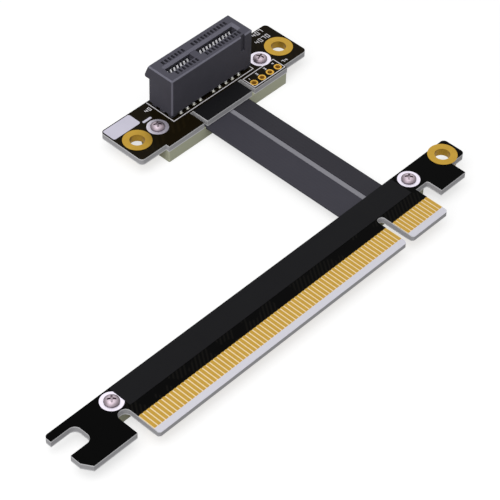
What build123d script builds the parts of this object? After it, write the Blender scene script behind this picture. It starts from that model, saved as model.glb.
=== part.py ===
# Flat ribbon extension lead for an expansion card: an edge card with 82 contacts a side at one
# end, a short one-lane card socket on a small board at the other, and a flat two-part ribbon
# between them. Each board is clamped to the ribbon by a block that is screwed on from above.
#
# Layout frame, in millimetres: X runs along the card edge from the middle of its key notch,
# Y runs from the mating edge towards the socket board, Z = 0 is the top face of both boards.
# The finished part is moved so that the origin is at the bottom centre of its outer box.
import math
import os

from build123d import *

os.makedirs("parts", exist_ok=True)

# Boards and blocks
board_thickness = 1.6
block_thickness = 3.0
board_corner_radius = 1.0

# Edge card outline, measured from the key notch and from the mating edge
card_left = -87.8
card_right = 28.2
card_depth = 14.7
key_width = 1.95
key_depth = 8.66
contact_pitch = 1.0
contact_from_key = 1.5
long_row_count = 71
short_row_count = 11
tab_side_margin = 0.55
left_notch_width = 2.9
left_notch_depth = 9.1
right_notch_width = 3.75
right_notch_depth = 8.76
right_foot_width = 7.75
right_foot_front = 4.81
hook_front = 2.91
hook_chamfer_width = 1.4
hook_chamfer_height = 2.25
hook_setback = 0.35
hook_arm_width = 1.94
hook_slot_width = 5.0
hook_slot_length = 6.1
hook_slot_radius = 1.6
bevel_length = 1.46
bevel_drop = 0.22
tab_corner_chamfer = 0.4

# Gold contacts of the edge card
finger_width = 0.7
finger_start = 1.48
finger_length = 4.25
copper_thickness = 0.05

# Gold-plated eyelets in the screw holes
eyelet_bore = 3.4
eyelet_flange = 6.5
eyelet_flange_thickness = 0.12
eyelet_wall = 0.2
card_eyelet_x = 24.28
card_eyelet_from_rear = 2.94

# Clamp screws, the tinned rings that they seat on, and their nuts
screw_shank = 2.0
screw_clearance = 0.1
screw_head_width = 3.2
screw_head_height = 0.9
screw_head_rim = 0.25
cross_width = 0.42
cross_span = 1.8
cross_depth = 0.55
screw_ring = 4.9
nut_flats = 4.0
nut_height = 1.6
nut_clearance = 0.05
nut_recess = 0.15
card_screw_from_rear = 2.84
card_left_screw_x = -73.04
card_right_screw_x = 13.36

# Insulating tape on both boards
tape_thickness = 0.08
tape_edge_margin = 0.04
card_tape_width = 5.9
card_tape_left = -71.2
card_tape_right = 10.65

# Clamp block under the edge card
card_block_depth = 5.2
card_block_left = -76.1
card_block_right = 16.0

# Ribbon, its two flat halves and the drain strip between them
ribbon_left = -3.93
wide_ribbon_width = 7.29
drain_strip_width = 1.24
narrow_ribbon_width = 4.92
ribbon_thickness = 0.6
ribbon_edge_radius = 0.22
ribbon_drop = 0.05
drain_inset = 0.12
ribbon_side_gap = 0.1
free_ribbon_length = 39.86
clamped_ribbon_length = 2.6
tail_length = 1.6
tail_width = 0.3
tail_pitch = 0.8
tail_thickness = 0.2
channel_floor_gap = 0.05
channel_end_gap = 0.3

# Socket board outline, measured from its front tongue and from the key of the socket
socket_board_depth = 13.7
socket_board_width = 51.6
socket_board_left = -22.45
tongue_left = -15.2
tongue_right = 21.7
tongue_length = 0.95
slit_width = 1.05
slit_depth = 4.4
left_slit_x = -4.55
right_slit_x = 10.37
socket_hole_y = 6.2
socket_hole_spacing = 44.2
socket_hole_edge = 3.75
socket_screw_y = 6.18
socket_left_screw_x = -12.6
socket_right_screw_x = 19.45

# Row of four plated header holes
header_pitch = 2.54
header_count = 4
header_middle_x = 16.47
header_y = 1.55
header_bore = 1.15
header_ring = 1.8
header_plating = 0.05
header_relief_margin = 0.2
header_relief_depth = 0.3

# Clamp block under the socket board: a U, open behind the ribbon
socket_block_depth = 8.7
socket_block_bar = 4.4
socket_block_leg = 6.6

# Card socket
socket_key_x = 1.7
socket_slot_y = 9.2
socket_left_end = 10.55
socket_right_end = 14.3
socket_front_wall = 3.67
socket_rear_wall = 3.3
socket_top_rear = 3.6
socket_standoff = 1.1
socket_height = 10.8
socket_edge_chamfer = 0.3
lip_reach = 1.35
lip_tip_height = 8.1
lip_underside_height = 7.45
lip_tip_radius = 0.3
slot_width = 1.75
slot_mouth_width = 2.8
slot_mouth_depth = 0.6
slot_floor_height = 2.6
slot_end_margin = 0.8
key_rib_width = 1.75
key_rib_drop = 0.5
socket_left_count = 7
socket_right_count = 11
cavity_width = 0.6
cavity_outer = 2.7
cavity_bar_inner = 1.65
cavity_bar_height = 1.05
groove_from_key = 10.7
groove_width = 1.2
groove_depth = 0.45
groove_length = 4.4
foot_width = 1.6
foot_depth = 1.2
foot_inset = 0.45
peg_width = 2.0
peg_clearance = 0.05
peg_end_distance = 1.35
peg_length = 1.5

# Socket contacts
spring_width = 0.42
spring_thickness = 0.22
spring_root = 2.35
spring_bend_height = 3.6
spring_touch = 0.55
spring_touch_height = 8.4
spring_tip = 1.0
spring_tip_height = 9.1
jog_height = 0.42
outer_row = 3.25
inner_row = 1.25
pin_below_board = 1.1
pin_hole_width = 0.75
joint_foot_width = 1.0
joint_tip_width = 0.62
joint_height = 0.5
land_width = 0.95

# Worked out from the sizes above
board_bottom = -board_thickness
block_bottom = board_bottom - block_thickness
ribbon_top = board_bottom - ribbon_drop
ribbon_bottom = ribbon_top - ribbon_thickness
channel_floor = ribbon_bottom - channel_floor_gap
long_tab_left = -contact_from_key - (long_row_count - 1) * contact_pitch - tab_side_margin
short_tab_right = contact_from_key + (short_row_count - 1) * contact_pitch + tab_side_margin
hook_slot_start = card_depth - hook_arm_width - hook_slot_width
card_screw_y = card_depth - card_screw_from_rear
card_eyelet_y = card_depth - card_eyelet_from_rear
card_tape_front = card_depth - tape_edge_margin - card_tape_width
socket_board_front = card_depth + free_ribbon_length
narrow_ribbon_left = ribbon_left + wide_ribbon_width + drain_strip_width
ribbon_right = narrow_ribbon_left + narrow_ribbon_width
ribbon_start = card_depth - clamped_ribbon_length
ribbon_end = socket_board_front + clamped_ribbon_length
slot_y = socket_board_front + socket_slot_y
screw_hole = screw_shank + 2 * screw_clearance


def block(x0, x1, y0, y1, z0, z1):
    """Rectangular solid between two corners."""
    return Pos(x0, y0, z0) * Box(x1 - x0, y1 - y0, z1 - z0, align=(Align.MIN,) * 3)


def rod(x, y, z0, z1, width):
    """Upright cylinder of the given diameter."""
    return Pos(x, y, z0) * Cylinder(width / 2, z1 - z0, align=(Align.CENTER, Align.CENTER, Align.MIN))


def tube(x, y, z0, z1, outer, bore):
    """Upright tube."""
    return rod(x, y, z0, z1, outer) - rod(x, y, z0, z1, bore)


def plate(points, z0, z1):
    """Straight-sided outline made into a plate."""
    outline = make_face(Polyline(*points, close=True))
    return extrude(Pos(0, 0, z0) * outline, amount=z1 - z0, dir=(0, 0, 1))


def upright_edges_at(solid, spots):
    """Vertical edges of a plate that stand at the given corners."""
    found = []
    for edge in solid.edges().filter_by(Axis.Z):
        centre = edge.center()
        if any(math.hypot(centre.X - x, centre.Y - y) < 0.05 for x, y in spots):
            found.append(edge)
    return found


def row(start, count, pitch):
    """Places of a row of equal steps."""
    return [start + index * pitch for index in range(count)]


def finger_places():
    """X of every contact along the edge card."""
    long_row = row(-contact_from_key - (long_row_count - 1) * contact_pitch, long_row_count, contact_pitch)
    return long_row + row(contact_from_key, short_row_count, contact_pitch)


def socket_pin_places():
    """X of every contact position along the socket."""
    first = socket_key_x - contact_from_key - (socket_left_count - 1) * contact_pitch
    left = row(first, socket_left_count, contact_pitch)
    return left + row(socket_key_x + contact_from_key, socket_right_count, contact_pitch)


def socket_pin_layout():
    """Place, side and row of each contact: outer and inner rows take turns along each side."""
    layout = []
    for x in socket_pin_places():
        steps_from_key = round((abs(x - socket_key_x) - contact_from_key) / contact_pitch)
        outer_first = x < socket_key_x
        outer = (steps_from_key % 2 == 0) == outer_first
        for side in (-1, 1):
            layout.append((x, side, outer_row if outer else inner_row))
    return layout


def make_edge_card_board():
    """Edge card: hooked left end, long and short tabs, key notch and a foot at the right."""
    hook_left = card_left + hook_setback
    notch_left = long_tab_left - left_notch_width
    foot_left = short_tab_right + right_notch_width
    foot_right = foot_left + right_foot_width
    slot_top = hook_slot_start + hook_slot_width
    slot_end = card_left + hook_slot_length
    outline = [
        (card_left, card_depth),
        (card_left, slot_top),
        (slot_end, slot_top),
        (slot_end, hook_slot_start),
        (hook_left, hook_slot_start),
        (hook_left, hook_front + hook_chamfer_height),
        (hook_left + hook_chamfer_width, hook_front),
        (notch_left, hook_front),
        (notch_left, left_notch_depth),
        (long_tab_left, left_notch_depth),
        (long_tab_left, 0),
        (-key_width / 2, 0),
        (-key_width / 2, key_depth),
        (key_width / 2, key_depth),
        (key_width / 2, 0),
        (short_tab_right, 0),
        (short_tab_right, right_notch_depth),
        (foot_left, right_notch_depth),
        (foot_left, right_foot_front),
        (foot_right, right_foot_front),
        (foot_right, right_notch_depth),
        (card_right, right_notch_depth),
        (card_right, card_depth),
    ]
    board = plate(outline, board_bottom, 0)

    key_round = 0.98 * key_width / 2
    rounds = [
        ([(card_left, card_depth)], 0.8),
        ([(slot_end, slot_top), (slot_end, hook_slot_start)], hook_slot_radius),
        ([(notch_left, left_notch_depth), (long_tab_left, left_notch_depth)], 0.48 * left_notch_width),
        ([(-key_width / 2, key_depth), (key_width / 2, key_depth)], key_round),
        ([(foot_left, right_notch_depth)], 0.6),
        ([(card_right, right_notch_depth), (card_right, card_depth)], board_corner_radius),
    ]
    for spots, radius in rounds:
        board = fillet(upright_edges_at(board, spots), radius)

    tab_corners = [(long_tab_left, 0), (-key_width / 2, 0), (key_width / 2, 0), (short_tab_right, 0)]
    board = chamfer(upright_edges_at(board, tab_corners), tab_corner_chamfer)

    bevel = Polyline((0, 0), (bevel_length, 0), (0, -bevel_drop), close=True)
    wedge = extrude(Plane.YZ * make_face(bevel), amount=short_tab_right - long_tab_left)
    board -= Pos(long_tab_left, 0, 0) * wedge
    board -= Pos(long_tab_left, 0, board_bottom) * mirror(wedge, Plane.XY)

    board -= rod(card_eyelet_x, card_eyelet_y, board_bottom, 0, eyelet_bore + 2 * eyelet_wall)
    for x in (card_left_screw_x, card_right_screw_x):
        board -= rod(x, card_screw_y, board_bottom, 0, screw_hole)
    return board


def make_edge_fingers(z0):
    """One face's row of gold contacts."""
    finger = block(-finger_width / 2, finger_width / 2, 0, finger_length, z0, z0 + copper_thickness)
    return [Pos(x, finger_start, 0) * finger for x in finger_places()]


def make_eyelet(x, y, flange, bore, wall, flange_thickness):
    """Sleeve through the board with a flat flange on each face."""
    sleeve = rod(x, y, board_bottom, 0, bore + 2 * wall)
    top = rod(x, y, 0, flange_thickness, flange)
    bottom = rod(x, y, board_bottom - flange_thickness, board_bottom, flange)
    return sleeve + top + bottom - rod(x, y, board_bottom - flange_thickness, flange_thickness, bore)


def make_screw_eyelet(x, y):
    """Gold-plated eyelet for a mounting screw."""
    return make_eyelet(x, y, eyelet_flange, eyelet_bore, eyelet_wall, eyelet_flange_thickness)


def make_tape(x0, x1, y0, y1):
    """Thin insulating tape on the top face of a board."""
    return block(x0, x1, y0, y1, 0, tape_thickness)


def make_screw(x, y, turn):
    """Low domed screw with a cross recess turned by some degrees, seated on its ring."""
    seat = copper_thickness
    top = seat + screw_head_height
    rise = screw_head_height - screw_head_rim
    dome_radius = ((screw_head_width / 2) ** 2 + rise ** 2) / (2 * rise)
    head = rod(0, 0, seat, top, screw_head_width) & Pos(0, 0, top - dome_radius) * Sphere(dome_radius)
    screw = head + rod(0, 0, block_bottom + nut_recess, seat, screw_shank)
    for span_x, span_y in ((cross_span, cross_width), (cross_width, cross_span)):
        screw -= block(-span_x / 2, span_x / 2, -span_y / 2, span_y / 2, top - cross_depth, top)
    return Pos(x, y, 0) * Rot(0, 0, turn) * screw


def make_screw_ring(x, y):
    """Flat tinned ring on the board round a clamp screw."""
    return tube(x, y, 0, copper_thickness, screw_ring, screw_hole)


def make_card_screw_rings():
    """The edge card's two rings, each ending where the tape lies over it."""
    tape = block(card_tape_left, card_tape_right, 0, card_depth, 0, tape_thickness)
    return [make_screw_ring(x, card_screw_y) - tape for x in (card_left_screw_x, card_right_screw_x)]


def hexagon(flats, z0, z1):
    """Six-sided prism across the given flats."""
    return extrude(Pos(0, 0, z0) * RegularPolygon(flats / 2, 6, major_radius=False), amount=z1 - z0)


def make_nut(x, y):
    """Hexagon nut in its pocket under a clamp block."""
    bottom = block_bottom + nut_recess
    nut = hexagon(nut_flats, bottom, bottom + nut_height)
    nut -= rod(0, 0, bottom, bottom + nut_height, screw_shank + nut_clearance)
    return Pos(x, y, 0) * nut


def cut_screw_way(clamp, x, y):
    """Clearance hole and nut pocket for one clamp screw."""
    pocket_top = block_bottom + nut_recess + nut_height
    clamp -= rod(x, y, block_bottom, board_bottom, screw_hole)
    return clamp - Pos(x, y, 0) * hexagon(nut_flats + 2 * nut_clearance, block_bottom, pocket_top)


def make_card_clamp_block():
    """Block that grips the ribbon under the edge card."""
    front = card_depth - card_block_depth
    clamp = block(card_block_left, card_block_right, front, card_depth, block_bottom, board_bottom)
    clamp = fillet(clamp.edges().filter_by(Axis.Z), 0.3)
    channel_start = ribbon_start - tail_length - channel_end_gap
    clamp -= block(
        ribbon_left - ribbon_side_gap, ribbon_right + ribbon_side_gap,
        channel_start, card_depth, channel_floor, board_bottom,
    )
    for x in (card_left_screw_x, card_right_screw_x):
        clamp = cut_screw_way(clamp, x, card_screw_y)
    return clamp


def make_socket_clamp_block():
    """U-shaped block under the socket board: a front bar over the ribbon and two screwed legs."""
    front = socket_board_front
    rear = front + socket_block_depth
    bar_rear = front + socket_block_bar
    clamp = block(tongue_left, tongue_right, front, rear, block_bottom, board_bottom)
    clamp -= block(
        tongue_left + socket_block_leg, tongue_right - socket_block_leg,
        bar_rear, rear, block_bottom, board_bottom,
    )
    clamp = fillet(clamp.edges().filter_by(Axis.Z), 0.3)
    clamp -= block(
        ribbon_left - ribbon_side_gap, ribbon_right + ribbon_side_gap,
        front, bar_rear, channel_floor, board_bottom,
    )
    relief_half = header_ring / 2 + header_relief_margin
    clamp -= block(
        header_places()[0] - relief_half, header_places()[-1] + relief_half,
        front + header_y - relief_half, front + header_y + relief_half,
        board_bottom - header_relief_depth, board_bottom,
    )
    for x in (socket_left_screw_x, socket_right_screw_x):
        clamp = cut_screw_way(clamp, x, front + socket_screw_y)
    return clamp


def make_ribbon(x0, width, inset=0.0):
    """One flat strand of the ribbon, with rounded long edges."""
    section = Pos(x0 + width / 2, 0, ribbon_top - ribbon_thickness / 2)
    height = ribbon_thickness - 2 * inset
    radius = min(ribbon_edge_radius, 0.4 * height)
    profile = Plane.XZ * RectangleRounded(width, height, radius)
    strand = extrude(profile, amount=-(ribbon_end - ribbon_start))
    return section * (Pos(0, ribbon_start, 0) * strand)


def make_tails(y0, y1):
    """Bared conductors that run from the end of the ribbon to the underside of a board."""
    tails = []
    for left, width in ((ribbon_left, wide_ribbon_width), (narrow_ribbon_left, narrow_ribbon_width)):
        count = int((width - tail_pitch / 2) // tail_pitch)
        start = left + (width - (count - 1) * tail_pitch) / 2
        for x in row(start, count, tail_pitch):
            top = board_bottom
            reach = ribbon_top - ribbon_thickness / 2 - tail_thickness / 2
            tails.append(block(x - tail_width / 2, x + tail_width / 2, y0, y1, reach, top))
    return tails


def make_socket_board():
    """Board that carries the socket: a front tongue between two slits, and screw holes."""
    front = socket_board_front
    rear = front + socket_board_depth
    shoulder = front + tongue_length
    right = socket_board_left + socket_board_width
    outline = [
        (socket_board_left, shoulder),
        (tongue_left, shoulder),
        (tongue_left, front),
        (tongue_right, front),
        (tongue_right, shoulder),
        (right, shoulder),
        (right, rear),
        (socket_board_left, rear),
    ]
    board = plate(outline, board_bottom, 0)
    corners = [(socket_board_left, shoulder), (right, shoulder), (right, rear), (socket_board_left, rear)]
    board = fillet(upright_edges_at(board, corners), board_corner_radius)
    for x in (left_slit_x, right_slit_x):
        board -= block(x, x + slit_width, front, front + slit_depth, board_bottom, 0)
    for x in socket_hole_places():
        board -= rod(x, front + socket_hole_y, board_bottom, 0, eyelet_bore + 2 * eyelet_wall)
    for x in (socket_left_screw_x, socket_right_screw_x):
        board -= rod(x, front + socket_screw_y, board_bottom, 0, screw_hole)
    for x in header_places():
        board -= rod(x, front + header_y, board_bottom, 0, header_bore + 2 * header_plating)
    for x, side, offset in socket_pin_layout():
        board -= rod(x, slot_y + side * offset, board_bottom, 0, pin_hole_width)
    for x in peg_places():
        board -= rod(x, slot_y, board_bottom, 0, peg_width + 2 * peg_clearance)
    return board


def socket_hole_places():
    """X of the two eyelets of the socket board."""
    first = socket_board_left + socket_hole_edge
    return [first, first + socket_hole_spacing]


def header_places():
    """X of the header holes."""
    return row(header_middle_x - (header_count - 1) * header_pitch / 2, header_count, header_pitch)


def peg_places():
    """X of the two locating pegs under the socket."""
    left = socket_key_x - socket_left_end + peg_end_distance
    right = socket_key_x + socket_right_end - peg_end_distance
    return [left, right]


def make_socket_housing():
    """Moulded housing: slot with a chamfered mouth, key rib, contact cavities and a rear ledge."""
    left = socket_key_x - socket_left_end
    right = socket_key_x + socket_right_end
    profile = Polyline(
        (-socket_front_wall, socket_standoff),
        (-socket_front_wall, socket_height),
        (socket_top_rear, socket_height),
        (socket_rear_wall + lip_reach, lip_tip_height),
        (socket_rear_wall + lip_reach, lip_underside_height),
        (socket_rear_wall, lip_underside_height),
        (socket_rear_wall, socket_standoff),
        close=True,
    )
    body = Pos(left, 0, 0) * extrude(Plane.YZ * make_face(profile), amount=right - left)
    tip_edges = []
    for edge in body.edges().filter_by(Axis.X):
        if edge.center().Y > socket_rear_wall + lip_reach - 0.01:
            tip_edges.append(edge)
    body = fillet(tip_edges, lip_tip_radius)

    front_edges = body.edges().filter_by(Axis.Z).group_by(Axis.Y)[0]
    top_face = body.faces().sort_by(Axis.Z)[-1]
    rear_top = top_face.edges().sort_by(Axis.Y)[-1]
    top_edges = [edge for edge in top_face.edges() if edge != rear_top]
    body = chamfer(list(front_edges) + top_edges, socket_edge_chamfer)

    places = socket_pin_places()
    slot_left = places[0] - slot_end_margin
    slot_right = places[-1] + slot_end_margin
    half = slot_width / 2
    body -= block(slot_left, slot_right, -half, half, slot_floor_height, socket_height)
    spread = (slot_mouth_width - slot_width) / 2
    mouth = Pos((slot_left + slot_right) / 2, 0, socket_height) * loft([
        Rectangle(slot_right - slot_left + 2 * spread, slot_mouth_width),
        Pos(0, 0, -slot_mouth_depth) * Rectangle(slot_right - slot_left, slot_width),
    ])
    body -= mouth

    rib_half = key_rib_width / 2
    rib_top = socket_height - key_rib_drop
    mouth_half = slot_mouth_width / 2
    rib = block(
        socket_key_x - rib_half, socket_key_x + rib_half,
        -mouth_half, mouth_half, slot_floor_height, rib_top,
    )
    body += rib

    bar_bottom = socket_height - cavity_bar_height
    for x in places:
        for side in (-1, 1):
            y0, y1 = sorted((side * cavity_bar_inner, side * cavity_outer))
            body -= block(x - cavity_width / 2, x + cavity_width / 2, y0, y1, socket_standoff, socket_height)
            y0, y1 = sorted((side * half, side * cavity_bar_inner))
            body -= block(x - cavity_width / 2, x + cavity_width / 2, y0, y1, socket_standoff, bar_bottom)

    groove_left = socket_key_x + groove_from_key
    body -= block(
        groove_left, groove_left + groove_width,
        -socket_front_wall, groove_depth - socket_front_wall,
        socket_height - groove_length, socket_height,
    )

    for x0 in (left + foot_inset, right - foot_inset - foot_width):
        for y0 in (foot_inset - socket_front_wall, socket_rear_wall - foot_inset - foot_depth):
            body += block(x0, x0 + foot_width, y0, y0 + foot_depth, 0, socket_standoff)
    for x in peg_places():
        peg = rod(x, 0, -peg_length, socket_standoff, peg_width)
        body += chamfer(peg.edges().group_by(Axis.Z)[0], 0.25)
    return Pos(0, slot_y, 0) * body


def strip(centre_line, thickness, width):
    """Bent metal strip: a band of even thickness along a line of (y, z) points."""
    near, far = [], []
    for index, (y, z) in enumerate(centre_line):
        before = centre_line[max(index - 1, 0)]
        after = centre_line[min(index + 1, len(centre_line) - 1)]
        a = math.atan2(z - before[1], y - before[0]) if index else None
        b = math.atan2(after[1] - z, after[0] - y) if index < len(centre_line) - 1 else a
        a = b if a is None else a
        turn = (b - a + math.pi) % (2 * math.pi) - math.pi
        normal = a + turn / 2 + math.pi / 2
        reach = thickness / 2 / math.cos(turn / 2)
        near.append((y + reach * math.cos(normal), z + reach * math.sin(normal)))
        far.append((y - reach * math.cos(normal), z - reach * math.sin(normal)))
    band = make_face(Polyline(*near, *reversed(far), close=True))
    return Pos(-width / 2, 0, 0) * extrude(Plane.YZ * band, amount=width)


def make_socket_contact(x, side, offset):
    """Spring contact: tail through the board, jog under the housing, spring and curved tip."""
    line = [
        (side * offset, board_bottom - pin_below_board),
        (side * offset, jog_height),
        (side * spring_root, jog_height),
        (side * spring_root, spring_bend_height),
        (side * spring_touch, spring_touch_height),
        (side * spring_tip, spring_tip_height),
    ]
    return Pos(x, slot_y, 0) * strip(line, spring_thickness, spring_width)


def make_solder_joint(x, side, offset):
    """Solder around one tail: a tapered joint under the board."""
    y = slot_y + side * offset
    joint = loft([
        Pos(x, y, board_bottom) * Rectangle(joint_foot_width, joint_foot_width),
        Pos(x, y, board_bottom - joint_height) * Rectangle(joint_tip_width, joint_tip_width),
    ])
    half_x = spring_width / 2
    half_y = spring_thickness / 2
    return joint - block(x - half_x, x + half_x, y - half_y, y + half_y, board_bottom - joint_height, board_bottom)


def make_land(x, side, offset):
    """Tinned land around one tail on the top of the board."""
    y = slot_y + side * offset
    half = land_width / 2
    land = block(x - half, x + half, y - half, y + half, 0, copper_thickness)
    half_x = spring_width / 2
    half_y = spring_thickness / 2
    return land - block(x - half_x, x + half_x, y - half_y, y + half_y, 0, copper_thickness)


def make_all_nodes():
    """Every piece by name, in the layout frame."""
    card_screws = [(card_left_screw_x, card_screw_y, 48), (card_right_screw_x, card_screw_y, 38)]
    socket_screw_row = socket_board_front + socket_screw_y
    socket_screws = [
        (socket_left_screw_x, socket_screw_row, 52),
        (socket_right_screw_x, socket_screw_row, 20),
    ]
    pins = socket_pin_layout()
    front = socket_board_front

    nodes = {}
    nodes["edge_card_board"] = [make_edge_card_board()]
    nodes["edge_contacts_top"] = make_edge_fingers(0)
    nodes["edge_contacts_bottom"] = make_edge_fingers(board_bottom - copper_thickness)
    nodes["edge_card_eyelet"] = [make_screw_eyelet(card_eyelet_x, card_eyelet_y)]
    nodes["edge_card_tape"] = [
        make_tape(card_tape_left, card_tape_right, card_tape_front, card_depth - tape_edge_margin),
    ]
    nodes["edge_card_clamp_block"] = [make_card_clamp_block()]
    nodes["edge_card_screws"] = [make_screw(x, y, turn) for x, y, turn in card_screws]
    nodes["edge_card_screw_rings"] = make_card_screw_rings()
    nodes["edge_card_nuts"] = [make_nut(x, y) for x, y, turn in card_screws]

    nodes["cable_ribbon_wide"] = [make_ribbon(ribbon_left, wide_ribbon_width)]
    nodes["cable_drain_strip"] = [
        make_ribbon(ribbon_left + wide_ribbon_width, drain_strip_width, drain_inset),
    ]
    nodes["cable_ribbon_narrow"] = [make_ribbon(narrow_ribbon_left, narrow_ribbon_width)]
    nodes["edge_card_cable_tails"] = make_tails(ribbon_start - tail_length, ribbon_start)
    nodes["socket_board_cable_tails"] = make_tails(ribbon_end, ribbon_end + tail_length)

    nodes["socket_board"] = [make_socket_board()]
    nodes["socket_board_tape"] = [make_tape(
        left_slit_x + slit_width + tape_edge_margin, right_slit_x - tape_edge_margin,
        front + tape_edge_margin, front + slit_depth,
    )]
    nodes["socket_board_eyelets"] = [
        make_screw_eyelet(x, front + socket_hole_y) for x in socket_hole_places()
    ]
    nodes["header_hole_rings"] = [
        make_eyelet(x, front + header_y, header_ring, header_bore, header_plating, copper_thickness)
        for x in header_places()
    ]
    nodes["socket_clamp_block"] = [make_socket_clamp_block()]
    nodes["socket_board_screws"] = [make_screw(x, y, turn) for x, y, turn in socket_screws]
    nodes["socket_board_screw_rings"] = [make_screw_ring(x, y) for x, y, turn in socket_screws]
    nodes["socket_board_nuts"] = [make_nut(x, y) for x, y, turn in socket_screws]
    nodes["socket_housing"] = [make_socket_housing()]
    nodes["socket_contacts_front"] = [make_socket_contact(*pin) for pin in pins if pin[1] < 0]
    nodes["socket_contacts_rear"] = [make_socket_contact(*pin) for pin in pins if pin[1] > 0]
    nodes["socket_lands"] = [make_land(*pin) for pin in pins]
    nodes["socket_solder_joints"] = [make_solder_joint(*pin) for pin in pins]
    return nodes


def main():
    """Build every piece, move the part onto its origin and write one file a piece."""
    nodes = make_all_nodes()
    left = card_left
    right = socket_board_left + socket_board_width
    front = 0
    rear = max(slot_y + socket_rear_wall + lip_reach, socket_board_front + socket_board_depth)
    to_origin = Pos(-(left + right) / 2, -(front + rear) / 2, -block_bottom)
    for name, solids in nodes.items():
        placed = [to_origin * solid for solid in solids]
        shape = placed[0] if len(placed) == 1 else Compound(children=placed)
        shape.label = name
        export_step(shape, f"parts/{name}.step")


main()
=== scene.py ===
"""Looks of a flat ribbon extension lead: an edge card, a ribbon and a small board with a card socket."""
import logging
import math
from dataclasses import dataclass, replace
from enum import Enum
from typing import Union

import bpy
from mathutils import Matrix, Vector


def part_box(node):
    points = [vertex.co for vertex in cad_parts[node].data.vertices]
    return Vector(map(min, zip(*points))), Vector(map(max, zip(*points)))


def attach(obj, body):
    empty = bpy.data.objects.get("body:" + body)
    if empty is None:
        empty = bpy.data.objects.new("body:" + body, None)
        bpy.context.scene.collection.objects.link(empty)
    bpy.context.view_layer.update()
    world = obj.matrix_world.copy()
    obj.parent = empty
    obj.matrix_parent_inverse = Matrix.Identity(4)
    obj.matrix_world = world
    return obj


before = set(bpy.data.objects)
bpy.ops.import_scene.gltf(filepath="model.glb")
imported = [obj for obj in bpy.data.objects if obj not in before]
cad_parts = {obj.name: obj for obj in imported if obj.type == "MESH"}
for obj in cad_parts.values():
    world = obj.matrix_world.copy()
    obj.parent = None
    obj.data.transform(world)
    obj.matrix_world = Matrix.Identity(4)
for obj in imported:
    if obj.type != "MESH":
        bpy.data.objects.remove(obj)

log = logging.getLogger("extension_lead")

MM = 0.001
CORNER_STEPS = 6
# The wave node multiplies its coordinates by this before it takes their sine.
WAVE_FACTOR = 20
# The strokes of each digit, lettered round from its top, with the middle one last.
STROKES = {"0": "abcdef", "1": "bc", "2": "abged", "3": "abgcd", "4": "fgbc", "7": "abc"}
Point = tuple[float, float]
NodeInput = Union[bpy.types.NodeSocket, bpy.types.Node, float, tuple]
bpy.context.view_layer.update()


def srgb(hex_colour: str) -> tuple[float, float, float, float]:
    """Turn an sRGB hex colour into linear light.

    Args:
        hex_colour: Colour such as "#c9a43a".

    Returns:
        Linear red, green, blue and an alpha of one.
    """
    channels = [int(hex_colour[place:place + 2], 16) / 255 for place in (1, 3, 5)]
    linear = [c / 12.92 if c <= 0.04045 else ((c + 0.055) / 1.055) ** 2.4 for c in channels]
    return (*linear, 1.0)


def per_mm(size: float) -> float:
    """Noise scale, in cells a metre, that gives patches of a size in millimetres."""
    return 1 / (size * MM)


def band_scale(period: float) -> float:
    """Wave scale that gives bands of a period in millimetres."""
    return 2 * math.pi / (WAVE_FACTOR * period * MM)


def direction(azimuth: float, elevation: float) -> Vector:
    """Unit vector from the part towards a place round it.

    Args:
        azimuth: Angle from the part's front, anticlockwise from above, in radians.
        elevation: Angle above the floor, in radians.

    Returns:
        The vector.
    """
    return Vector((
        math.sin(azimuth) * math.cos(elevation), -math.cos(azimuth) * math.cos(elevation),
        math.sin(elevation),
    ))


def add_node(
    tree: bpy.types.NodeTree,
    kind: str,
    inputs: dict[Union[int, str], NodeInput] | None = None,
    **settings: object,
) -> bpy.types.Node:
    """Add a node with its settings, values and links.

    Args:
        tree: Node tree of a material or of the world.
        kind: Type name of the node.
        inputs: Value, node or output socket for each named or numbered input.
        **settings: Properties of the node itself.

    Returns:
        The new node.
    """
    node = tree.nodes.new(kind)
    for name, value in settings.items():
        setattr(node, name, value)
    for key, value in (inputs or {}).items():
        if isinstance(value, bpy.types.Node):
            value = value.outputs[0]
        if isinstance(value, bpy.types.NodeSocket):
            tree.links.new(value, node.inputs[key])
        else:
            node.inputs[key].default_value = value
    return node


def calculate(
    tree: bpy.types.NodeTree, operation: str, first: NodeInput, second: NodeInput | None = None
) -> bpy.types.Node:
    """Add a sum of one or two inputs.

    Args:
        tree: Node tree of a material or of the world.
        operation: Name of the sum, such as "MULTIPLY".
        first: Its first input.
        second: Its second input, if the sum has one.

    Returns:
        The node that holds the result.
    """
    inputs = {0: first} if second is None else {0: first, 1: second}
    return add_node(tree, "ShaderNodeMath", inputs, operation=operation)


def blend(
    tree: bpy.types.NodeTree, share: NodeInput, first: NodeInput, second: NodeInput
) -> bpy.types.NodeSocket:
    """Blend from one colour to another.

    Args:
        tree: Node tree of the material.
        share: Share of the second colour.
        first: Colour where the share is nought.
        second: Colour where the share is one.

    Returns:
        The socket that gives the colour.
    """
    return add_node(tree, "ShaderNodeMix", {0: share, 6: first, 7: second}, data_type="RGBA").outputs[2]


def clouds(tree: bpy.types.NodeTree, size: float, detail: float) -> bpy.types.Node:
    """Add soft noise that keeps its place on the part.

    Args:
        tree: Node tree of the material.
        size: Size of its patches in millimetres.
        detail: Number of finer layers in it.

    Returns:
        The noise node.
    """
    place = add_node(tree, "ShaderNodeTexCoord").outputs["Object"]
    return add_node(tree, "ShaderNodeTexNoise", {"Vector": place, "Scale": per_mm(size), "Detail": detail})


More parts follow.
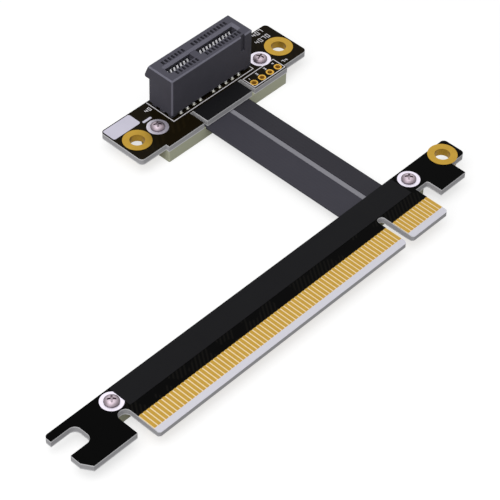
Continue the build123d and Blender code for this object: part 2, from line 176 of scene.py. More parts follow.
def stripes(
    tree: bpy.types.NodeTree, period: float, axis: str, waver: dict[str, float] | None = None
) -> bpy.types.Node:
    """Add soft bands across one of the part's axes.

    Args:
        tree: Node tree of the material.
        period: Their period in millimetres.
        axis: The axis that they follow each other along.
        waver: Inputs of the wave node that bend the bands.

    Returns:
        The wave node.
    """
    place = add_node(tree, "ShaderNodeTexCoord").outputs["Object"]
    return add_node(
        tree, "ShaderNodeTexWave", {"Vector": place, "Scale": band_scale(period), **(waver or {})},
        wave_type="BANDS", bands_direction=axis, wave_profile="SIN",
    )


def facing(tree: bpy.types.NodeTree) -> bpy.types.Node:
    """Add the direction that the surface faces, split into X, Y and Z."""
    normal = add_node(tree, "ShaderNodeTexCoord").outputs["Normal"]
    return add_node(tree, "ShaderNodeSeparateXYZ", {0: normal})


def levelness(tree: bpy.types.NodeTree) -> bpy.types.Node:
    """Add a value that is one on level faces and nought on upright walls."""
    return calculate(tree, "ABSOLUTE", facing(tree).outputs["Z"])


def paint(tree: bpy.types.NodeTree, shader: bpy.types.Node, colour: bpy.types.NodeSocket) -> None:
    """Take the shader's base colour from a socket."""
    tree.links.new(colour, shader.inputs["Base Color"])


def painted(shader: bpy.types.Node) -> bpy.types.NodeSocket:
    """Give the socket that the shader's base colour comes from."""
    return shader.inputs["Base Color"].links[0].from_socket


def lift(
    tree: bpy.types.NodeTree, shader: bpy.types.Node, height: bpy.types.Node, depth: float, strength: float
) -> None:
    """Let a pattern raise the surface, as the light sees it.

    Args:
        tree: Node tree of the material.
        shader: Its main shader.
        height: The pattern.
        depth: Height of the pattern's high places in millimetres.
        strength: Share of that height that shows.
    """
    bump = add_node(tree, "ShaderNodeBump", {"Height": height, "Distance": depth * MM, "Strength": strength})
    tree.links.new(bump.outputs[0], shader.inputs["Normal"])


@dataclass(frozen=True)
class Finish:
    """A plain surface. Kinds of finish that have a pattern add to it in their own `pattern`."""

    name: str
    colour: str
    roughness: float
    metallic: float = 0.0
    specular: float = 0.5

    def material(self) -> bpy.types.Material:
        """Make the material, or give back the one that is already made.

        Returns:
            The finished material.
        """
        made = bpy.data.materials.get(self.name)
        if made:
            return made
        made = bpy.data.materials.new(self.name)
        made.use_nodes = True
        tree = made.node_tree
        tree.nodes.clear()
        shader = add_node(tree, "ShaderNodeBsdfPrincipled", {
            "Base Color": srgb(self.colour),
            "Roughness": self.roughness,
            "Metallic": self.metallic,
            "Specular IOR Level": self.specular,
        })
        self.pattern(tree, shader)
        add_node(tree, "ShaderNodeOutputMaterial", {"Surface": shader})
        made.diffuse_color = srgb(self.colour)
        return made

    def pattern(self, tree: bpy.types.NodeTree, shader: bpy.types.Node) -> None:
        """Add the surface's own pattern.

        Args:
            tree: Node tree of the material.
            shader: Its main shader.
        """


@dataclass(frozen=True)
class Metal(Finish):
    """Plated metal: its colour drifts a little over the surface and its gloss is slightly uneven."""

    metallic: float = 1.0
    drift: str = "#808080"
    patch: float = 1.5
    patch_detail: float = 3.0
    dent: float = 0.004
    dent_strength: float = 0.6

    def pattern(self, tree: bpy.types.NodeTree, shader: bpy.types.Node) -> None:
        """Mix in the second colour by soft patches, and lift the surface by a hair.

        Args:
            tree: Node tree of the material.
            shader: Its main shader.
        """
        cloud = clouds(tree, self.patch, self.patch_detail)
        paint(tree, shader, blend(tree, cloud, srgb(self.colour), srgb(self.drift)))
        lift(tree, shader, cloud, self.dent, self.dent_strength)


@dataclass(frozen=True)
class ShadedWallMetal(Metal):
    """Struck metal of a screw or an eyelet, with painted shade darkening its upright walls and a head's rim.
    """

    # Colour of the painted shade on upright walls and a head's rim.
    painted_wall_shade: str = "#404040"
    wall_level: float = 0.72
    crown_level: float = 0.94

    def pattern(self, tree: bpy.types.NodeTree, shader: bpy.types.Node) -> None:
        """Add the plating's pattern, then the painted shade on the walls and rim.

        Args:
            tree: Node tree of the material.
            shader: Its main shader.
        """
        super().pattern(tree, shader)
        # Painted shade: the colour turns to the shade colour as the surface turns upright.
        shade = add_node(tree, "ShaderNodeMapRange", {
            0: levelness(tree), 1: self.wall_level, 2: self.crown_level,
        })
        paint(tree, shader, blend(tree, shade, srgb(self.painted_wall_shade), painted(shader)))


@dataclass(frozen=True)
class MouldedPlastic(Finish):
    """Smooth or moulded plastic with a fine grain and a slow drift of colour."""

    drift: str = "#808080"
    patch_per_grain: float = 20.0
    patch_detail: float = 2.0
    grain: float = 0.12
    grain_depth: float = 0.012
    grain_strength: float = 0.5

    def pattern(self, tree: bpy.types.NodeTree, shader: bpy.types.Node) -> None:
        """Add the grain and the drift of colour.

        Args:
            tree: Node tree of the material.
            shader: Its main shader.
        """
        cloud = clouds(tree, self.patch_per_grain * self.grain, self.patch_detail)
        paint(tree, shader, blend(tree, cloud, srgb(self.colour), srgb(self.drift)))
        grain = clouds(tree, self.grain, self.patch_detail)
        lift(tree, shader, grain, self.grain_depth, self.grain_strength)


@dataclass(frozen=True)
class BevelledPlastic(MouldedPlastic):
    """Moulded plastic with a painted highlight on its bevels and painted light making its top a little paler
    than its sides.
    """

    # Colour of the painted highlight on the bevels.
    bevel: str = "#808080"
    bevel_spread: float = 1.35
    # Colour of the painted light on the upward faces.
    top: str = "#808080"
    top_level: float = 0.9

    def pattern(self, tree: bpy.types.NodeTree, shader: bpy.types.Node) -> None:
        """Add the grain, then the painted light on the top and the painted highlight on the bevels.

        Args:
            tree: Node tree of the material.
            shader: Its main shader.
        """
        super().pattern(tree, shader)
        # Painted light: faces that point up take a paler colour.
        painted_top_light_mask = calculate(tree, "GREATER_THAN", facing(tree).outputs["Z"], self.top_level)
        with_painted_top_light = blend(tree, painted_top_light_mask, painted(shader), srgb(self.top))
        normal = add_node(tree, "ShaderNodeTexCoord").outputs["Normal"]
        parts = add_node(tree, "ShaderNodeVectorMath", {0: normal}, operation="ABSOLUTE")
        # The sum of a normal's parts is 1 on flat sides and about 1.41 on bevels.
        spread = add_node(
            tree, "ShaderNodeVectorMath", {0: parts, 1: (1.0, 1.0, 1.0)}, operation="DOT_PRODUCT",
        )
        # Painted highlight: the bevels take a paler colour.
        painted_bevel_highlight_mask = calculate(tree, "GREATER_THAN", spread.outputs["Value"], self.bevel_spread)
        paint(tree, shader, blend(tree, painted_bevel_highlight_mask, with_painted_top_light, srgb(self.bevel)))


@dataclass(frozen=True)
class RibbonJacket(Finish):
    """Extruded jacket: shallow ridges along it, one for each conductor."""

    drift: str = "#808080"
    pitch: float = 0.8
    patch_per_pitch: float = 5.0
    patch_detail: float = 2.0
    ridge: float = 0.02
    ridge_strength: float = 0.4

    def pattern(self, tree: bpy.types.NodeTree, shader: bpy.types.Node) -> None:
        """Add the ridges along the ribbon and a faint cloudiness.

        Args:
            tree: Node tree of the material.
            shader: Its main shader.
        """
        cloud = clouds(tree, self.patch_per_pitch * self.pitch, self.patch_detail)
        paint(tree, shader, blend(tree, cloud, srgb(self.colour), srgb(self.drift)))
        lift(tree, shader, stripes(tree, self.pitch, "X"), self.ridge, self.ridge_strength)


@dataclass(frozen=True)
class CutLaminate(Finish):
    """Sawn glass laminate: cloth layers show as fine lines on its cut sides."""

    line: str = "#808080"
    layer: float = 0.36
    layer_waver: float = 0.6
    saw_detail: float = 2.0
    groove: float = 0.01
    groove_strength: float = 0.4

    def layers(self, tree: bpy.types.NodeTree) -> bpy.types.Node:
        """Add the lines of the cloth layers, broken by the saw's marks.

        Args:
            tree: Node tree of the material.

        Returns:
            The wave node.
        """
        waver = {"Distortion": self.layer_waver, "Detail": self.saw_detail, "Detail Scale": self.saw_detail}
        return stripes(tree, self.layer, "Z", waver)

    def pattern(self, tree: bpy.types.NodeTree, shader: bpy.types.Node) -> None:
        """Colour the layers' lines and let them stand out a little.

        Args:
            tree: Node tree of the material.
            shader: Its main shader.
        """
        layers = self.layers(tree)
        paint(tree, shader, blend(tree, layers, srgb(self.colour), srgb(self.line)))
        lift(tree, shader, layers, self.groove, self.groove_strength)


@dataclass(frozen=True)
class MaskedBoard(CutLaminate):
    """Glass laminate under black solder mask, with bare cut edges and a bare contact zone.

    The mask is a thin gloss ink, so the flat faces are near black. The routed sides show the pale
    cloth layers between paler rims. Where a contact zone is given, the laminate there is bare
    between the contacts. The face's height and the zone's left, right and back are in metres, and
    all other sizes in millimetres.
    """

    mask: str = "#040404"
    mask_roughness: float = 0.2
    bevel: str = "#d6d5de"
    bevel_level: float = 0.9
    flat_level: float = 0.9965
    bare: str = "#efdcb2"
    rim: str = "#dedee0"
    rim_width: float = 0.3
    trace: str = "#100f0d"
    trace_pitch: float = 1.0
    trace_share: float = 0.45
    trace_slant: float = 0.7
    trace_bundle: float = 5.0
    trace_bundle_detail: float = 1.0
    trace_bundle_level: float = 0.5
    trace_depth: float = 0.03
    trace_strength: float = 0.15
    thickness: float = 1.6
    top: float = 0.0
    zone: tuple[float, float, float] | None = None

    def pattern(self, tree: bpy.types.NodeTree, shader: bpy.types.Node) -> None:
        """Lay the mask on the flat faces, the bare zone behind the bevel and traces under the mask.

        Args:
            tree: Node tree of the material.
            shader: Its main shader.
        """
        place = add_node(tree, "ShaderNodeTexCoord").outputs["Object"]
        spot = add_node(tree, "ShaderNodeSeparateXYZ", {0: place})
        level = levelness(tree)
        flat = calculate(tree, "GREATER_THAN", level, self.flat_level)
        traces = self.traces(tree, spot)
        face = blend(tree, traces, srgb(self.mask), srgb(self.trace))
        masked = flat
        if self.zone is not None:
            bared = self.bared(tree, spot)
            face = blend(tree, bared, face, srgb(self.bare))
            masked = calculate(tree, "MULTIPLY", flat, calculate(tree, "SUBTRACT", 1.0, bared))
        paint(tree, shader, blend(tree, flat, self.edge(tree, spot, level), face))
        gloss = add_node(tree, "ShaderNodeMapRange", {
            0: masked, 3: self.roughness, 4: self.mask_roughness,
        })
        tree.links.new(gloss.outputs[0], shader.inputs["Roughness"])
        shown = calculate(tree, "MULTIPLY", traces, masked)
        lift(tree, shader, shown, self.trace_depth, self.trace_strength)

    def edge(
        self, tree: bpy.types.NodeTree, spot: bpy.types.Node, level: bpy.types.Node
    ) -> bpy.types.NodeSocket:
        """Colour the routed sides, with a pale rim at each face, and the bevel.

        Args:
            tree: Node tree of the material.
            spot: Place on the part, split into X, Y and Z.
            level: How level the surface is.

        Returns:
            The socket that gives the colour.
        """
        middle = self.top - self.thickness * MM / 2
        away = calculate(tree, "ABSOLUTE", calculate(tree, "SUBTRACT", spot.outputs["Z"], middle))
        in_rim = calculate(tree, "GREATER_THAN", away, (self.thickness / 2 - self.rim_width) * MM)
        side = blend(tree, self.layers(tree), srgb(self.colour), srgb(self.line))
        rimmed = blend(tree, in_rim, side, srgb(self.rim))
        sloped = calculate(tree, "GREATER_THAN", level, self.bevel_level)
        return blend(tree, sloped, rimmed, srgb(self.bevel))

    def bared(self, tree: bpy.types.NodeTree, spot: bpy.types.Node) -> bpy.types.Node:
        """Mark the contact zone, where the laminate is bare.

        Args:
            tree: Node tree of the material.
            spot: Place on the part, split into X, Y and Z.

        Returns:
            The node that is one in the zone.
        """
        left, right, back = self.zone
        past_left = calculate(tree, "GREATER_THAN", spot.outputs["X"], left)
        before_right = calculate(tree, "LESS_THAN", spot.outputs["X"], right)
        across = calculate(tree, "MULTIPLY", past_left, before_right)
        return calculate(tree, "MULTIPLY", across, calculate(tree, "LESS_THAN", spot.outputs["Y"], back))

    def traces(self, tree: bpy.types.NodeTree, spot: bpy.types.Node) -> bpy.types.Node:
        """Draw the slanting copper traces that show faintly through the mask.

        They run in bundles. Where a contact zone is given, they keep to its width.

        Args:
            tree: Node tree of the material.
            spot: Place on the part, split into X, Y and Z.

        Returns:
            The node that is one on the traces.
        """
        slant = calculate(tree, "MULTIPLY", spot.outputs["Y"], -self.trace_slant)
        run = calculate(tree, "ADD", spot.outputs["X"], slant)
        part = calculate(tree, "FRACT", calculate(tree, "MULTIPLY", run, per_mm(self.trace_pitch)))
        line = calculate(tree, "LESS_THAN", part, self.trace_share)
        cloud = clouds(tree, self.trace_bundle, self.trace_bundle_detail)
        bundle = calculate(tree, "GREATER_THAN", cloud, self.trace_bundle_level)
        trace = calculate(tree, "MULTIPLY", line, bundle)
        if self.zone is None:
            return trace
        left, right, _ = self.zone
        away = calculate(tree, "SUBTRACT", spot.outputs["X"], (left + right) / 2)
        within = calculate(tree, "LESS_THAN", calculate(tree, "ABSOLUTE", away), (right - left) / 2)
        return calculate(tree, "MULTIPLY", trace, within)


# Hard gold over nickel, bright plated: a warm yellow that mirrors softly.
CONTACT_GOLD = Metal("hard_gold_on_contacts", "#c8a146", 0.32, drift="#bd943d")
# Gold-plated brass eyelet: deeper than the contacts, with a rolled, slightly matt flange and painted shade
# in its bore.
EYELET_GOLD = ShadedWallMetal("gold_plated_brass_eyelet", "#c59f3e", 0.38, drift="#b8923a", painted_wall_shade="#a17e2e")
# Immersion gold over copper round the small drilled holes: duller, and paler.
HOLE_GOLD = Metal("immersion_gold_in_holes", "#e2b955", 0.6, drift="#d3a848")
# Hot-air levelled tin: white metal with a faint lavender cast and a soft, slightly wavy gloss.
LEVELLED_TIN = Metal("hot_air_levelled_tin", "#f4eefa", 0.42, drift="#e9e2f0", patch=0.8, dent=0.015)
# Nickel-plated steel, cold headed: a pinkish grey metal, duller than the tin, with painted shade on its
# upright walls.
NICKELLED_STEEL = ShadedWallMetal("nickel_plated_steel", "#cbbcc6", 0.5, drift="#b4a5af", painted_wall_shade="#564d53")
# Tin solder: grey with a crumpled skin.
SOLDER = Metal("tin_solder", "#bdbcb2", 0.45, drift="#a9a89e", patch=0.5, dent=0.03)
# Bare copper conductor, lightly oxidised.
BARE_COPPER = Metal("bare_copper_conductor", "#c98a5e", 0.35, drift="#b5764c")
# Tinned phosphor bronze spring: near white, with the dull sheen of matt tin.
SPRING_METAL = Metal("tinned_phosphor_bronze", "#ffffff", 0.7, drift="#f8f8fc")
# Glass-filled nylon, moulded: dark slate, satin, with the fine grain of a spark-eroded mould.
# Its bevels carry a painted highlight and its top painted light.
SLATE_NYLON = BevelledPlastic(
    "glass_filled_nylon", "#4c4b54", 0.6, specular=0.08, drift="#47464e", bevel="#73727e", top="#51505a",
)
# Polyester tape over the boards: satin black film.
BLACK_FILM = MouldedPlastic(
    "black_polyester_tape", "#19191b", 0.5, specular=0.05, drift="#161618", grain=0.3,
)
# Extruded vinyl jackets: dark grey with a blue cast, satin.
WIDE_JACKET = RibbonJacket("extruded_vinyl_wide", "#3f3e46", 0.5, specular=0.1, drift="#3b3a42")
NARROW_JACKET = RibbonJacket("extruded_vinyl_narrow", "#333238", 0.5, specular=0.1, drift="#302f35")
DRAIN_JACKET = RibbonJacket(
    "extruded_vinyl_light_grey", "#8b8a91", 0.5, specular=0.1, drift="#85848b", pitch=1.2,
)
# Bare glass laminate, sawn: olive beige with darker cloth layers.
BARE_LAMINATE = CutLaminate("sawn_glass_laminate", "#c6c8b0", 0.6, specular=0.2, line="#b3b59c")
# Black solder mask on glass laminate: gloss black faces and pale grey routed sides. The small
# board's ink is browner, and its traces are wider.
CARD_BOARD = MaskedBoard("card_black_mask_on_laminate", "#bebdc0", 0.5, specular=0.025, line="#aaa9ac")
SMALL_BOARD = MaskedBoard(
    "socket_board_black_mask_on_laminate", "#bebdc0", 0.5, specular=0.025, line="#aaa9ac", mask="#181309",
    trace="#1d170b", trace_pitch=1.6,
)
# Screen-printed epoxy ink: flat white with a lavender cast, thinner and greyer on the wide label.
PRINT_INK = MouldedPlastic(
    "screen_print_ink", "#e6e3e6", 0.6, specular=0.1, drift="#dbd8dc", grain=0.2,
)
LABEL_INK = MouldedPlastic(
    "screen_print_ink_on_label", "#d6d3e2", 0.6, specular=0.1, drift="#cbc8d8", grain=0.2,
)


def dress(node: str, finish: Finish) -> None:
    """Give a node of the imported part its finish.

    Args:
        node: Name of the node.
        finish: The finish that it takes.
    """
    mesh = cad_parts[node].data
    mesh.materials.clear()
    mesh.materials.append(finish.material())
    for face in mesh.polygons:
        face.material_index = 0
    log.info("dressed %s in %s", node, finish.name)


def add_piece(
    name: str, points: list[Vector], faces: list[tuple[int, ...]], finish: Finish
) -> bpy.types.Object:
    """Add one closed mesh that rides on the part.

    Args:
        name: Name of the new piece.
        points: Its corners, in metres.
        faces: Corner numbers of each face, turned outward.
        finish: The finish that it takes.

    Returns:
        The new object.
    """
    mesh = bpy.data.meshes.new(name)
    mesh.from_pydata(points, [], faces)
    mesh.validate()
    mesh.materials.append(finish.material())
    piece = bpy.data.objects.new(name, mesh)
    bpy.context.scene.collection.objects.link(piece)
    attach(piece, "root")
    log.info("added %s with %d faces", name, len(faces))
    return piece


def rounded_outline(left: float, right: float, front: float, back: float, radius: float) -> list[Point]:
    """Rectangle with rounded corners.

    Args:
        left: Its left side.
        right: Its right side.
        front: Its front side.
        back: Its back side.
        radius: Radius of its corners.

    Returns:
        Corners, anticlockwise from above.
    """
    centres = [(right - radius, back - radius), (left + radius, back - radius)]
    centres += [(left + radius, front + radius), (right - radius, front + radius)]
    outline = []
    for quarter, (x, y) in enumerate(centres):
        for step in range(CORNER_STEPS):
            angle = math.radians(90 * quarter + 90 / (CORNER_STEPS - 1) * step)
            outline.append((x + radius * math.cos(angle), y + radius * math.sin(angle)))
    return outline


class Solids:
    """Corners and faces of several closed solids that are joined into one piece."""

    def __init__(self) -> None:
        """Start with nothing."""
        self.points: list[Vector] = []
        self.faces: list[tuple[int, ...]] = []

    def prism(self, outline: list[Point], bottom: float, top: float) -> None:
        """Add an upright prism.

        Args:
            outline: Corners, anticlockwise from above, in metres.
            bottom: Height of its underside.
            top: Height of its top.
        """
        start = len(self.points)
        count = len(outline)
        for height in (bottom, top):
            self.points += [Vector((x, y, height)) for x, y in outline]
        self.faces.append(tuple(start + count + step for step in range(count)))
        self.faces.append(tuple(start + count - 1 - step for step in range(count)))
        for step in range(count):
            after = (step + 1) % count
            self.faces.append((start + step, start + after, start + count + after, start + count + step))

    def bar(
        self, left: float, right: float, front: float, back: float, bottom: float, top: float
    ) -> None:
        """Add a rectangular solid between its sides."""
        self.prism([(left, front), (right, front), (right, back), (left, back)], bottom, top)

    def border(
        self, left: float, right: float, front: float, back: float, width: float, bottom: float, top: float
    ) -> None:
        """Add a closed rectangular border.

        Args:
            left: Outer side of the left leg.
            right: Outer side of the right leg.
            front: Outer side of the front leg.
            back: Outer side of the back leg.
            width: Width of each leg.
            bottom: Height of its underside.
            top: Height of its top.
        """
        start = len(self.points)
        outer = [(left, front), (right, front), (right, back), (left, back)]
        inner = [
            (left + width, front + width), (right - width, front + width),
            (right - width, back - width), (left + width, back - width),
        ]
        for loop, height in ((outer, bottom), (outer, top), (inner, bottom), (inner, top)):
            self.points += [Vector((x, y, height)) for x, y in loop]
        low, high, inner_low, inner_high = (start + 4 * ring for ring in range(4))
        for step in range(4):
            after = (step + 1) % 4
            self.faces.append((low + step, low + after, high + after, high + step))
            self.faces.append((inner_low + after, inner_low + step, inner_high + step, inner_high + after))
            self.faces.append((high + step, high + after, inner_high + after, inner_high + step))
            self.faces.append((low + after, low + step, inner_low + step, inner_low + after))

    def turned(self, x: float, y: float, profile: list[Point], sides: int = 20) -> None:
        """Add a solid turned about an upright axis.

        Args:
            x: Place of the axis along X.
            y: Place of the axis along Y.
            profile: Radius and height of each step from the foot to the tip.
            sides: Number of sides round the axis.
        """
        start = len(self.points)
        for radius, height in profile:
            for step in range(sides):
                angle = 2 * math.pi * step / sides
                self.points.append(
                    Vector((x + radius * math.cos(angle), y + radius * math.sin(angle), height))
                )
        for ring in range(len(profile) - 1):
            low = start + ring * sides
            for step in range(sides):
                after = (step + 1) % sides
                self.faces.append((low + step, low + after, low + sides + after, low + sides + step))
        self.faces.append(tuple(start + sides - 1 - step for step in range(sides)))
        last = start + (len(profile) - 1) * sides
        self.faces.append(tuple(last + step for step in range(sides)))


@dataclass
class EdgeCard:
    """The long card with its contacts, tape, clamp block and screws. Sizes in millimetres."""

    finger_back: float = 5.66
    zone_margin: float = 1.0

    def build(self) -> None:
        """Dress the card's pieces."""
        low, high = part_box("edge_card_board")
        contacts_low, contacts_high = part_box("edge_contacts_top")
        margin = self.zone_margin * MM
        zone = (contacts_low.x - margin, contacts_high.x + margin, low.y + self.finger_back * MM)
        dress("edge_card_board", replace(CARD_BOARD, top=high.z, zone=zone))
        for node in ("edge_contacts_top", "edge_contacts_bottom"):
            dress(node, CONTACT_GOLD)
        dress("edge_card_eyelet", EYELET_GOLD)
        dress("edge_card_tape", BLACK_FILM)
        dress("edge_card_clamp_block", BARE_LAMINATE)
        dress("edge_card_screws", NICKELLED_STEEL)
        dress("edge_card_nuts", NICKELLED_STEEL)
        dress("edge_card_screw_rings", LEVELLED_TIN)
        dress("edge_card_cable_tails", BARE_COPPER)


@dataclass
class Ribbon:
    """The two flat strands and the strip between them."""

    def build(self) -> None:
        """Dress the ribbon's pieces."""
        dress("cable_ribbon_wide", WIDE_JACKET)
        dress("cable_ribbon_narrow", NARROW_JACKET)
        dress("cable_drain_strip", DRAIN_JACKET)


@dataclass
class SocketBoard:
    """The small board, its print, block and screws. Sizes in millimetres from its front left corner."""

    print_thickness: float = 0.02
    line: float = 0.2
    outline_left: float = 13.5
    outline_right: float = 38.5
    outline_front: float = 4.88
    outline_back: float = 13.6
    return_length: float = 1.3
    header_left: float = 34.1
    header_right: float = 44.0
    header_front: float = 0.35
    header_back: float = 4.15
    label_left: float = 0.35
    label_right: float = 8.2
    label_front: float = 9.7
    label_back: float = 13.45
    label_corner: float = 0.5
    bar_left: float = 8.55
    bar_right: float = 11.05
    bar_front: float = 9.1
    bar_back: float = 9.7
    bar_corner: float = 0.2
    digit_width: float = 0.58
    digit_line: float = 0.17
    digit_advance: float = 1.5
    numbers: tuple[tuple[str, float, float, float], ...] = (
        ("40", 11.35, 11.0, 1.1), ("74", 44.75, 1.45, 0.95), ("407", 46.4, 12.1, 1.3),
        ("4070", 45.2, 9.95, 1.3),
    )
    pin_count: int = 4
    pin_number_front: float = 2.72
    pin_number_height: float = 0.8

    def build(self) -> None:
        """Dress the board's pieces and add its white print."""
        dress("socket_board", replace(SMALL_BOARD, top=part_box("socket_board")[1].z))
        dress("socket_board_tape", BLACK_FILM)
        dress("socket_board_eyelets", EYELET_GOLD)
        dress("header_hole_rings", HOLE_GOLD)
        dress("socket_clamp_block", BARE_LAMINATE)
        dress("socket_board_screws", NICKELLED_STEEL)
        dress("socket_board_nuts", NICKELLED_STEEL)
        dress("socket_board_screw_rings", LEVELLED_TIN)
        dress("socket_board_cable_tails", BARE_COPPER)
        self.print_legend()

    def print_legend(self) -> None:
        """Print the socket's outline, the header's frame, plain numbers, the blank label and its bar."""
        low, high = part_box("socket_board")
        top = high.z
        over = top + self.print_thickness * MM

        def at(x: float, y: float) -> Point:
            """Place on the board in metres."""
            return low.x + x * MM, low.y + y * MM

        legend = Solids()
        left, front = at(self.outline_left, self.outline_front)
        right, back = at(self.outline_right, self.outline_back)
        width = self.line * MM
        reach = front + self.return_length * MM
        legend.prism(
            [
                (left, front), (right, front), (right, reach), (right - width, reach),
                (right - width, front + width), (left + width, front + width), (left + width, back),
                (left, back),
            ],
            top, over,
        )
        left, front = at(self.header_left, self.header_front)
        right, back = at(self.header_right, self.header_back)
        legend.border(left, right, front, back, width, top, over)
        for number, x, y, height in self.number_places():
            self.print_number(legend, number, at(x, y), height * MM, top, over)
        add_piece("socket_board_print", legend.points, legend.faces, PRINT_INK)

        label = Solids()
        left, front = at(self.label_left, self.label_front)
        right, back = at(self.label_right, self.label_back)
        label.prism(rounded_outline(left, right, front, back, self.label_corner * MM), top, over)
        left, front = at(self.bar_left, self.bar_front)
        right, back = at(self.bar_right, self.bar_back)
        label.prism(rounded_outline(left, right, front, back, self.bar_corner * MM), top, over)
        add_piece("socket_board_label", label.points, label.faces, LABEL_INK)

    def number_places(self) -> list[tuple[str, float, float, float]]:
        """Say where the plain numbers stand.

        Returns:
            The digits of each number, its lower left corner and its height, in millimetres.
        """
        places = list(self.numbers)
        ring_low, ring_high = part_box("header_hole_rings")
        board_low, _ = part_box("socket_board")
        ring = ring_high.y - ring_low.y
        pitch = (ring_high.x - ring_low.x - ring) / (self.pin_count - 1) / MM
        first = (ring_low.x - board_low.x + ring / 2) / MM - self.digit_width * self.pin_number_height / 2
        for pin in range(self.pin_count):
            places.append(
                (str(pin + 1), first + pin * pitch, self.pin_number_front, self.pin_number_height)
            )
        return places

    def print_number(
        self, legend: "Solids", number: str, corner: Point, height: float, bottom: float, top: float
    ) -> None:
        """Print one number in plain strokes.

        Args:
            legend: The print that the strokes are added to.
            number: Its digits.
            corner: Its lower left corner, in metres.
            height: Height of a digit.
            bottom: Height of the board's face.
            top: Height of the print's face.
        """
        wide = self.digit_width * height
        line = self.digit_line * MM
        half = (height - line) / 2
        bars = {
            "a": (0, wide, height - line, height),
            "b": (wide - line, wide, half, height - line),
            "c": (wide - line, wide, line, half),
            "d": (0, wide, 0, line),
            "e": (0, line, line, half),
            "f": (0, line, half, height - line),
            "g": (line, wide - line, half, half + line),
        }
        for place, digit in enumerate(number):
            x = corner[0] + place * self.digit_advance * wide
            y = corner[1]
            for stroke in STROKES[digit]:
                left, right, front, back = bars[stroke]
                legend.bar(x + left, x + right, y + front, y + back, bottom, top)


@dataclass
class CardSocket:
    """The card socket with its contacts and their solder. Sizes in millimetres."""

    first_outer_pin: float = 3.05
    outer_pitch: float = 2.0
    left_outer_count: int = 4
    right_outer_start: float = 13.05
    right_outer_count: int = 5
    outer_row: float = 0.42
    fillet_radius: float = 0.4
    fillet_tip: float = 0.25
    fillet_foot: float = 0.07
    fillet_waist: float = 0.6
    fillet_height: float = 0.22

    def build(self) -> None:
        """Dress the socket's pieces and add the solder round its front row."""
        dress("socket_housing", SLATE_NYLON)
        dress("socket_contacts_front", SPRING_METAL)
        dress("socket_contacts_rear", SPRING_METAL)
        dress("socket_lands", SOLDER)
        dress("socket_solder_joints", SOLDER)
        low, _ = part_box("socket_housing")
        board_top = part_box("socket_board")[1].z
        waist_radius = (self.fillet_radius + self.fillet_tip) / 2
        profile = [
            (self.fillet_radius * MM, board_top),
            (self.fillet_radius * MM, board_top + self.fillet_foot * MM),
            (waist_radius * MM, board_top + self.fillet_waist * self.fillet_height * MM),
            (self.fillet_tip * MM, board_top + self.fillet_height * MM),
        ]
        groups = (
            (self.first_outer_pin, self.left_outer_count), (self.right_outer_start, self.right_outer_count),
        )
        fillets = Solids()
        for first, count in groups:
            for step in range(count):
                pin = first + step * self.outer_pitch
                fillets.turned(low.x + pin * MM, low.y + self.outer_row * MM, profile)
        solder = add_piece("socket_front_solder", fillets.points, fillets.faces, SOLDER)


class Side(Enum):
    """Where a lamp stands, as azimuth and elevation in degrees round the object."""

    LEFT = (-80.0, 52.0)
    ABOVE = (-60.0, 78.0)


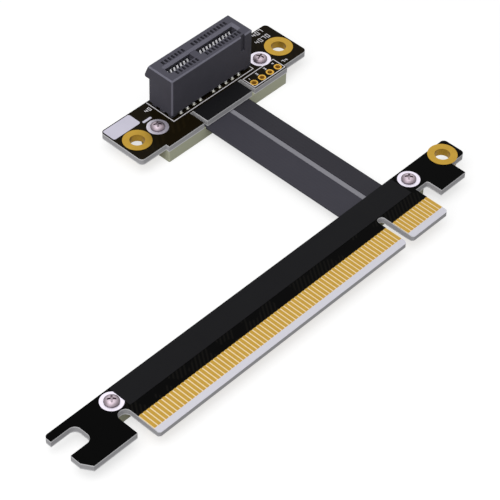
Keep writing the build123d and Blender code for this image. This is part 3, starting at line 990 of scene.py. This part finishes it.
@dataclass
class Studio:
    """Pale floor, white surroundings and soft lamps. Distances in metres."""

    floor_size: float = 4.0
    floor_drop: float = 0.00005
    lamp_distance: float = 0.6
    lamp_size: float = 0.5
    soft_light: float = 0.4
    floor_colour: str = "#a8a8a8"
    floor_glow: float = 0.68
    key_power: float = 1.5
    top_power: float = 1.2

    def seen(self, tree: bpy.types.NodeTree) -> bpy.types.Node:
        """Mask that is one where the backdrop is seen, directly or in a reflection.

        Args:
            tree: Node tree of a material or of the world.

        Returns:
            The node that holds the mask.
        """
        path = add_node(tree, "ShaderNodeLightPath")
        direct = calculate(tree, "MAXIMUM", path.outputs["Is Camera Ray"], path.outputs["Is Glossy Ray"])
        return calculate(tree, "MAXIMUM", direct, path.outputs["Is Transmission Ray"])

    def build(self) -> None:
        """Set the floor, the surroundings and the lamps."""
        self.build_floor()
        self.build_surroundings()
        self.build_lamp("key_lamp", Side.LEFT, self.key_power)
        self.build_lamp("top_lamp", Side.ABOVE, self.top_power)

    def build_floor(self) -> None:
        """Lay a pale floor under the part that looks white and keeps the part's shadow."""
        half = self.floor_size / 2
        mesh = bpy.data.meshes.new("floor")
        level = -self.floor_drop
        corners = [(-half, -half, level), (half, -half, level), (half, half, level), (-half, half, level)]
        mesh.from_pydata(corners, [], [(0, 1, 2, 3)])
        floor = bpy.data.objects.new("floor", mesh)
        bpy.context.scene.collection.objects.link(floor)
        material = bpy.data.materials.new("pale_floor")
        material.use_nodes = True
        tree = material.node_tree
        tree.nodes.clear()
        matt = add_node(tree, "ShaderNodeBsdfDiffuse", {"Color": srgb(self.floor_colour)})
        glow = add_node(tree, "ShaderNodeEmission", {"Strength": self.floor_glow})
        lit = add_node(tree, "ShaderNodeAddShader", {0: matt, 1: glow})
        mixed = add_node(tree, "ShaderNodeMixShader", {0: self.seen(tree), 1: matt, 2: lit})
        add_node(tree, "ShaderNodeOutputMaterial", {"Surface": mixed})
        mesh.materials.append(material)
        log.info("laid the floor")

    def build_surroundings(self) -> None:
        """Surround the part with soft light that looks white."""
        world = bpy.data.worlds.new("surroundings")
        bpy.context.scene.world = world
        world.use_nodes = True
        tree = world.node_tree
        tree.nodes.clear()
        strength = add_node(tree, "ShaderNodeMapRange", {0: self.seen(tree), 3: self.soft_light, 4: 1.0})
        light = add_node(tree, "ShaderNodeBackground", {"Color": srgb("#ffffff"), "Strength": strength})
        add_node(tree, "ShaderNodeOutputWorld", {"Surface": light})

    def build_lamp(self, name: str, side: Side, power: float) -> None:
        """Hang one soft square lamp that faces the part.

        Args:
            name: Name of the lamp.
            side: Where it stands.
            power: Its power in watts.
        """
        away = direction(*(math.radians(angle) for angle in side.value))
        data = bpy.data.lights.new(name, "AREA")
        data.energy = power
        data.size = self.lamp_size
        lamp = bpy.data.objects.new(name, data)
        lamp.location = away * self.lamp_distance
        lamp.rotation_mode = "QUATERNION"
        lamp.rotation_quaternion = (-away).to_track_quat("-Z", "Y")
        bpy.context.scene.collection.objects.link(lamp)
        log.info("hung %s", name)


@dataclass
class ProductCamera:
    """Camera at the photograph's viewing angle. Lengths in millimetres, angles in degrees."""

    aim: tuple[float, float, float] = (3.870, -13.287, 4.6)
    distance: float = 424.85
    azimuth: float = -47.884
    elevation: float = 45.460
    roll: float = 2.075
    lens: float = 150.702
    sensor: float = 36.0
    shift: float = 0.001
    nearest: float = 10.0
    furthest: float = 20000.0

    def build(self) -> None:
        """Set the camera."""
        azimuth = math.radians(self.azimuth)
        roll = math.radians(self.roll)
        back = direction(azimuth, math.radians(self.elevation))
        level = Vector((math.cos(azimuth), math.sin(azimuth), 0))
        right = level * math.cos(roll) + back.cross(level) * math.sin(roll)
        up = back.cross(right)
        data = bpy.data.cameras.new("product_camera")
        data.lens = self.lens
        data.sensor_width = self.sensor
        data.shift_x = -self.shift
        data.shift_y = self.shift
        data.clip_start = self.nearest * MM
        data.clip_end = self.furthest * MM
        camera = bpy.data.objects.new("product_camera", data)
        turn = Matrix((right, up, back)).transposed()
        place = Vector(self.aim) * MM + back * self.distance * MM
        camera.matrix_world = Matrix.Translation(place) @ turn.to_4x4()
        bpy.context.scene.collection.objects.link(camera)
        bpy.context.scene.camera = camera
        log.info("set the camera")


def main() -> None:
    """Build the looks of each sub-assembly, then the studio and the camera."""
    logging.basicConfig(level=logging.INFO, format="%(name)s: %(message)s")
    for assembly in (EdgeCard(), Ribbon(), SocketBoard(), CardSocket(), Studio(), ProductCamera()):
        assembly.build()
    bpy.context.scene.view_settings.view_transform = "Standard"


if __name__ == "__main__":
    main()
